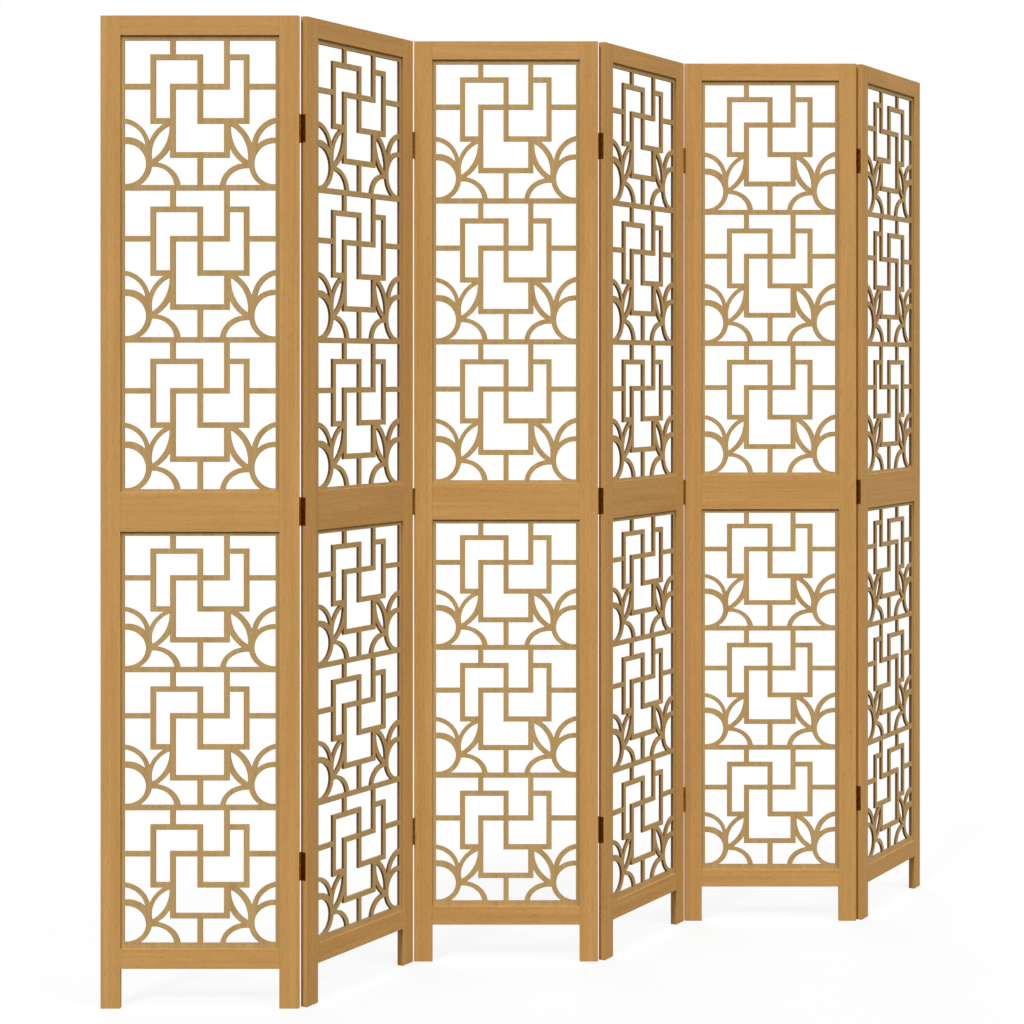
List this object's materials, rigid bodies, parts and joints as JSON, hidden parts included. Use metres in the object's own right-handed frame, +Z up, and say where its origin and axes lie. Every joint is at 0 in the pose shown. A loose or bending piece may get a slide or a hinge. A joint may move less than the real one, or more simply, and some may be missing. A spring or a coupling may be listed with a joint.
{
  "type": "folding screen room divider",
  "caption": "Freestanding folding screen of tall framed wooden panels with pierced lattice boards, hinged edge to edge and standing in a zigzag.",
  "frame": {"origin": "on the floor, at the centre of the box round the screen as it stands in its zigzag", "axes": "+X along the screen from the first panel to the last, +Y away from its front, +Z up"},
  "size_m": [1.867, 0.1858, 1.75],
  "materials": {
    "frame_wood": "golden brown stain, satin",
    "lattice_wood": "golden brown stain, satin",
    "hinge_metal": "dark antique bronze",
    "screw_metal": "dark antique bronze"
  },
  "bodies": {
    "panel_1": {"panel_1_left_stile": "frame_wood", "panel_1_right_stile": "frame_wood", "panel_1_top_rail": "frame_wood", "panel_1_middle_rail": "frame_wood", "panel_1_bottom_rail": "frame_wood", "panel_1_upper_lattice": "lattice_wood", "panel_1_lower_lattice": "lattice_wood", "panel_1_hinge_leaves": "hinge_metal", "panel_1_hinge_pins": "hinge_metal", "panel_1_hinge_screws": "screw_metal"},
    "panel_2": {"panel_2_left_stile": "frame_wood", "panel_2_right_stile": "frame_wood", "panel_2_top_rail": "frame_wood", "panel_2_middle_rail": "frame_wood", "panel_2_bottom_rail": "frame_wood", "panel_2_upper_lattice": "lattice_wood", "panel_2_lower_lattice": "lattice_wood", "panel_2_hinge_leaves": "hinge_metal", "panel_2_hinge_pins": "hinge_metal", "panel_2_hinge_screws": "screw_metal"},
    "panel_3": {"panel_3_left_stile": "frame_wood", "panel_3_right_stile": "frame_wood", "panel_3_top_rail": "frame_wood", "panel_3_middle_rail": "frame_wood", "panel_3_bottom_rail": "frame_wood", "panel_3_upper_lattice": "lattice_wood", "panel_3_lower_lattice": "lattice_wood", "panel_3_hinge_leaves": "hinge_metal", "panel_3_hinge_pins": "hinge_metal", "panel_3_hinge_screws": "screw_metal"},
    "panel_4": {"panel_4_left_stile": "frame_wood", "panel_4_right_stile": "frame_wood", "panel_4_top_rail": "frame_wood", "panel_4_middle_rail": "frame_wood", "panel_4_bottom_rail": "frame_wood", "panel_4_upper_lattice": "lattice_wood", "panel_4_lower_lattice": "lattice_wood", "panel_4_hinge_leaves": "hinge_metal", "panel_4_hinge_pins": "hinge_metal", "panel_4_hinge_screws": "screw_metal"},
    "panel_5": {"panel_5_left_stile": "frame_wood", "panel_5_right_stile": "frame_wood", "panel_5_top_rail": "frame_wood", "panel_5_middle_rail": "frame_wood", "panel_5_bottom_rail": "frame_wood", "panel_5_upper_lattice": "lattice_wood", "panel_5_lower_lattice": "lattice_wood", "panel_5_hinge_leaves": "hinge_metal", "panel_5_hinge_pins": "hinge_metal", "panel_5_hinge_screws": "screw_metal"},
    "panel_6": {"panel_6_left_stile": "frame_wood", "panel_6_right_stile": "frame_wood", "panel_6_top_rail": "frame_wood", "panel_6_middle_rail": "frame_wood", "panel_6_bottom_rail": "frame_wood", "panel_6_upper_lattice": "lattice_wood", "panel_6_lower_lattice": "lattice_wood", "panel_6_hinge_leaves": "hinge_metal", "panel_6_hinge_screws": "screw_metal"}
  },
  "joints": [
    {"name": "hinge_1_2", "type": "hinge", "parent": "panel_1", "child": "panel_2", "pos_m": [-0.62315, -0.08117, 0.875], "axis": [0, 0, 1], "range_deg": [-60, 120]},
    {"name": "hinge_2_3", "type": "hinge", "parent": "panel_2", "child": "panel_3", "pos_m": [-0.31157, 0.08117, 0.875], "axis": [0, 0, -1], "range_deg": [-60, 120]},
    {"name": "hinge_3_4", "type": "hinge", "parent": "panel_3", "child": "panel_4", "pos_m": [0, -0.08117, 0.875], "axis": [0, 0, 1], "range_deg": [-60, 120]},
    {"name": "hinge_4_5", "type": "hinge", "parent": "panel_4", "child": "panel_5", "pos_m": [0.31157, 0.08117, 0.875], "axis": [0, 0, -1], "range_deg": [-60, 120]},
    {"name": "hinge_5_6", "type": "hinge", "parent": "panel_5", "child": "panel_6", "pos_m": [0.62315, -0.08117, 0.875], "axis": [0, 0, 1], "range_deg": [-60, 120]}
  ]
}
